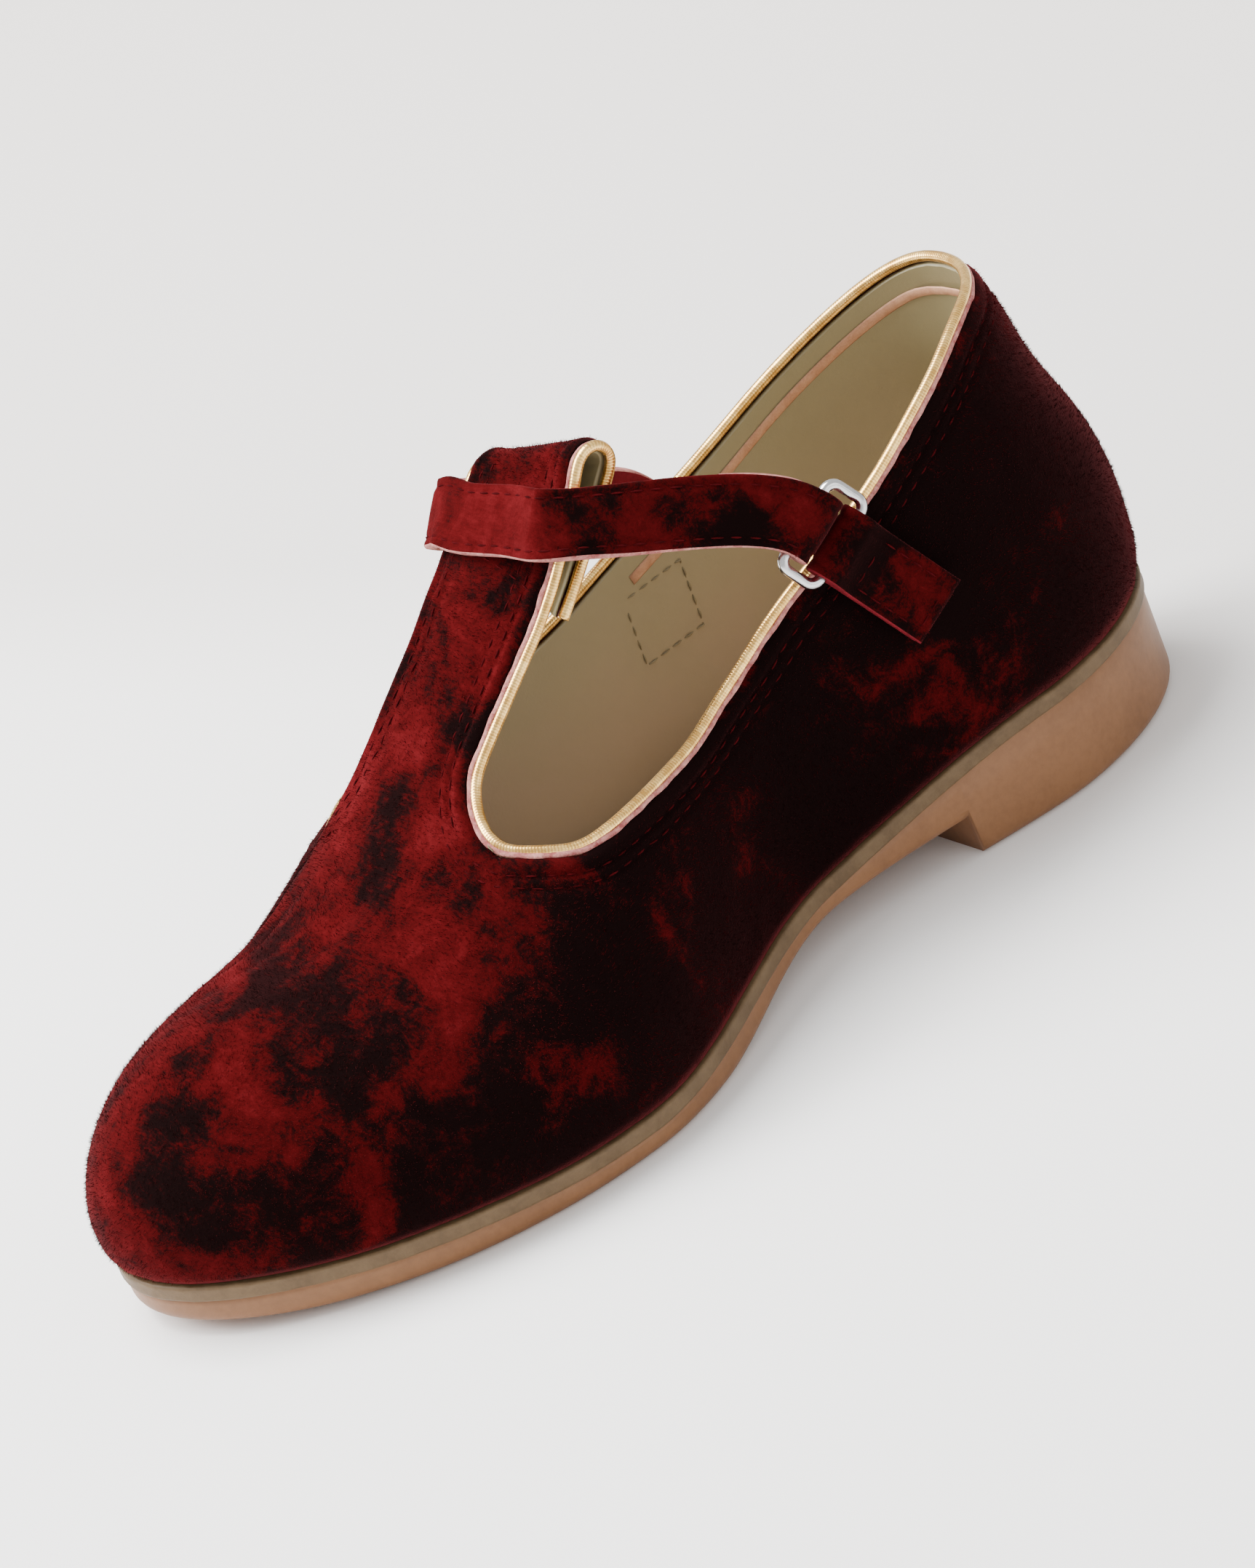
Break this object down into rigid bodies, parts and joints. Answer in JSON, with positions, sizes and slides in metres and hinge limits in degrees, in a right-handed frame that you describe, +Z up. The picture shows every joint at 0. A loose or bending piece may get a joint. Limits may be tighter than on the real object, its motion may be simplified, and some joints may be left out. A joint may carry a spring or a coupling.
{
  "type": "t-bar mary jane shoe",
  "caption": "Child's left T-bar mary jane: hollow velvet upper with two side openings, ankle strap through a wire ring, piped edges, rubber unit sole with low heel.",
  "frame": {"origin": "centre of the heel's ground face", "axes": "+Z up, +Y from toe to heel, +X to the outer side of this left shoe"},
  "size_m": [0.0674, 0.171, 0.076],
  "materials": {
    "upper": "crushed burgundy velvet, leather lined",
    "edge_piping": "metallic gold piping",
    "outsole": "tan translucent rubber, satin",
    "insole": "smooth beige lining leather",
    "ankle_strap": "crushed burgundy velvet, edge stitched",
    "buckle_ring": "bright bent steel wire",
    "buckle_tab": "crushed burgundy velvet, stitched in a rectangle"
  },
  "bodies": {
    "root": {"upper": "upper", "edge_piping": "edge_piping", "outsole": "outsole", "insole": "insole", "ankle_strap": "ankle_strap", "buckle_ring": "buckle_ring", "buckle_tab": "buckle_tab"}
  },
  "joints": []
}
